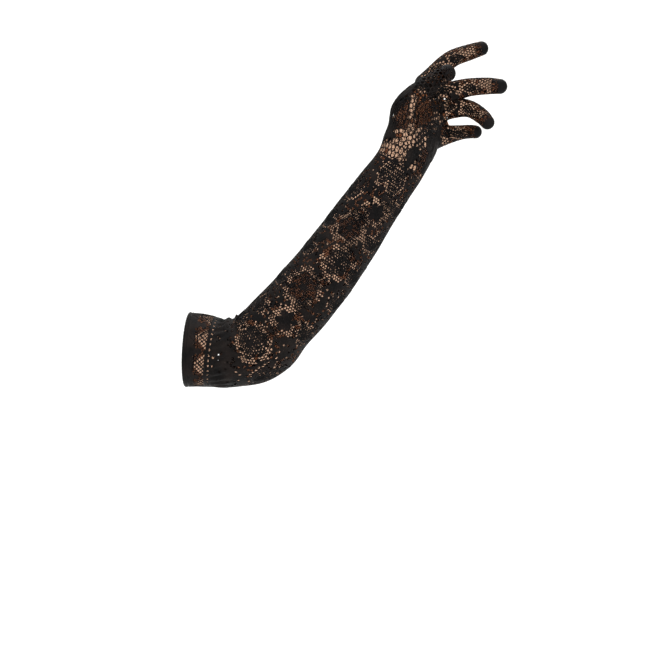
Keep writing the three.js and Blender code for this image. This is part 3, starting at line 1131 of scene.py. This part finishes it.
@dataclass(frozen=True)
class NylonYarn:
    """Black nylon and elastane yarn, warp-knitted: matt, with a slight silky sheen."""

    WAVES = 1 / 6.3

    name: str
    deep: str
    worn: str
    roughness: float
    filament_mm: float
    sheerness: float = 0.0

    def material(self) -> bpy.types.Material:
        """Builds the finish.

        The slow mottle is dye and stretch, which turn the black a little brown where the knit is
        thin. The fine bands are the yarn's filaments, drawn coarser than real so that they show.
        """
        made = bpy.data.materials.new(self.name)
        made.use_nodes = True
        tree = made.node_tree
        shader = tree.nodes["Principled BSDF"]
        place = add_node(tree, "ShaderNodeTexCoord", {}, {}).outputs["Object"]
        mottle = add_node(
            tree, "ShaderNodeTexNoise", {"Scale": 1 / (14 * MM), "Detail": 3.0}, {"Vector": place}
        )
        tone = add_node(tree, "ShaderNodeValToRGB", {}, {"Fac": mottle.outputs["Fac"]})
        tone.color_ramp.elements[0].position = 0.38
        tone.color_ramp.elements[0].color = linear(self.deep)
        tone.color_ramp.elements[1].position = 0.68
        tone.color_ramp.elements[1].color = linear(self.worn)
        twist = add_node(
            tree, "ShaderNodeTexWave",
            {"Scale": self.WAVES / (self.filament_mm * MM), "Distortion": 3.0, "Detail": 1.0},
            {"Vector": place},
        )
        bump = add_node(
            tree, "ShaderNodeBump", {"Strength": 0.35, "Distance": 0.12 * MM},
            {"Height": twist.outputs["Fac"]},
        )
        tree.links.new(tone.outputs["Color"], shader.inputs["Base Color"])
        tree.links.new(bump.outputs["Normal"], shader.inputs["Normal"])
        shader.inputs["Roughness"].default_value = self.roughness
        shader.inputs["Sheen Weight"].default_value = 0.006
        shader.inputs["Sheen Roughness"].default_value = 0.5
        shader.inputs["Specular IOR Level"].default_value = 0.05
        if self.sheerness:
            self.let_light_through(tree, shader)
        return made

    def let_light_through(self, tree: bpy.types.NodeTree, shader: bpy.types.Node) -> None:
        """Thins the knit: light that passes between its fine threads comes out a warm brown."""
        clear = add_node(tree, "ShaderNodeBsdfTransparent", {"Color": linear("#f0d8c6")}, {})
        add_node(
            tree, "ShaderNodeMixShader", {"Fac": self.sheerness},
            {1: shader.outputs["BSDF"], 2: clear.outputs["BSDF"]},
        )
        mixed = tree.nodes["Mix Shader"]
        tree.links.new(mixed.outputs["Shader"], tree.nodes["Material Output"].inputs["Surface"])


NET_YARN = NylonYarn("knitted_nylon_net_yarn", "#070606", "#15100e", 0.62, 0.5)
DENSE_YARN = NylonYarn("knitted_nylon_dense_yarn", "#050505", "#0e0b0b", 0.55, 0.7)
SHEER_YARN = NylonYarn("sheer_knitted_nylon", "#0a0808", "#1a1310", 0.6, 0.5, 0.52)
FINE_YARN = NylonYarn("fine_sheer_knitted_nylon", "#0a0808", "#1a1310", 0.6, 0.5, 0.74)


@dataclass
class Studio:
    """The pale floor that sweeps up behind, the soft lamps and the camera."""

    floor_height: float = -0.36
    wall_distance: float = 3.2
    half_width: float = 7.0
    bend: float = 1.3
    wall_height: float = 5.0
    lens: float = 98.35
    camera_place: tuple = (0.2793, -1.8851, 0.0262)
    camera_aim: tuple = (0.1468, 0.0103, 0.0262)
    lamp_aim: tuple = (0.15, 0.0, 0.05)

    def sweep(self) -> None:
        """A floor that bends up into a wall, painted near white."""
        bm = bmesh.new()
        turn = np.linspace(0, math.pi / 2, 49)
        y = self.wall_distance - self.bend + self.bend * np.sin(turn)
        z = self.bend - self.bend * np.cos(turn)
        profile = [(-self.half_width, 0.0), *zip(y, z), (self.wall_distance, self.wall_height)]
        sides = [
            [bm.verts.new((x, y, self.floor_height + z)) for y, z in profile]
            for x in (-self.half_width, self.half_width)
        ]
        for a, b, c, d in zip(sides[0], sides[0][1:], sides[1][1:], sides[1]):
            bm.faces.new((a, d, c, b))
        mesh = bpy.data.meshes.new("floor_sweep")
        bm.to_mesh(mesh)
        bm.free()
        floor = bpy.data.objects.new("floor_sweep", mesh)
        bpy.context.scene.collection.objects.link(floor)
        shade_smooth(floor)
        paper = bpy.data.materials.new("white_studio_paper")
        paper.use_nodes = True
        shader = paper.node_tree.nodes["Principled BSDF"]
        shader.inputs["Base Color"].default_value = linear("#fbfbfa")
        shader.inputs["Roughness"].default_value = 0.9
        mesh.materials.append(paper)

    def lamp(self, name: str, place: tuple, size: float, power: float) -> None:
        """A soft square lamp that faces the glove."""
        data = bpy.data.lights.new(name, "AREA")
        data.size = size
        data.energy = power
        lamp = bpy.data.objects.new(name, data)
        lamp.location = place
        aim = Vector(self.lamp_aim) - Vector(place)
        lamp.rotation_euler = aim.to_track_quat("-Z", "Y").to_euler()
        bpy.context.scene.collection.objects.link(lamp)

    def camera(self) -> None:
        """The photograph's view: level, a few degrees to the glove's right, a long lens."""
        data = bpy.data.cameras.new("view")
        data.sensor_width = 36
        data.lens = self.lens
        camera = bpy.data.objects.new("view", data)
        camera.location = self.camera_place
        aim = Vector(self.camera_aim) - camera.location
        camera.rotation_euler = aim.to_track_quat("-Z", "Y").to_euler()
        bpy.context.scene.collection.objects.link(camera)
        bpy.context.scene.camera = camera

    def build(self) -> None:
        """Sets up the floor, the light and the camera."""
        self.camera()
        self.sweep()
        self.lamp("key_lamp", (-1.1, -1.6, 1.5), 1.2, 42)
        self.lamp("fill_lamp", (1.5, -1.3, 0.6), 1.4, 26)
        self.lamp("wall_lamp", (0.2, 0.35, 2.0), 1.6, 40)
        world = bpy.data.worlds.new("studio")
        world.use_nodes = True
        sky = world.node_tree.nodes["Background"]
        sky.inputs["Color"].default_value = (1, 1, 1, 1)
        sky.inputs["Strength"].default_value = 0.9
        bpy.context.scene.world = world
        bpy.context.scene.view_settings.view_transform = "Standard"


def dress(pieces: list[bpy.types.Object]) -> None:
    """Gives each piece its yarn and reports it."""
    yarns = (NET_YARN, DENSE_YARN, SHEER_YARN, FINE_YARN)
    net, dense, sheer, fine = [yarn.material() for yarn in yarns]
    for piece in pieces:
        lacy = piece.name.endswith(("_lace", "_net"))
        piece.data.materials.append(net if lacy else dense)
        if lacy or piece.name.endswith("_toe"):
            piece.data.materials.append(sheer)
            piece.data.materials.append(fine)
        LOG.info("%s: %d faces", piece.name, len(piece.data.polygons))


def main() -> None:
    """Builds the glove and its studio in order."""
    logging.basicConfig(level=logging.INFO)
    Studio().build()
    cuff = Cuff()
    pieces = [cuff.hem(), *cuff.band(), cuff.eyelet_row()]
    pieces += Sleeve().build()
    pieces += Hand().build()
    for name in DIGITS:
        digit = Digit(name, 12, 4.3) if name == "thumb" else Digit(name)
        pieces += digit.build()
    dress(pieces)


if __name__ == "__main__":
    main()
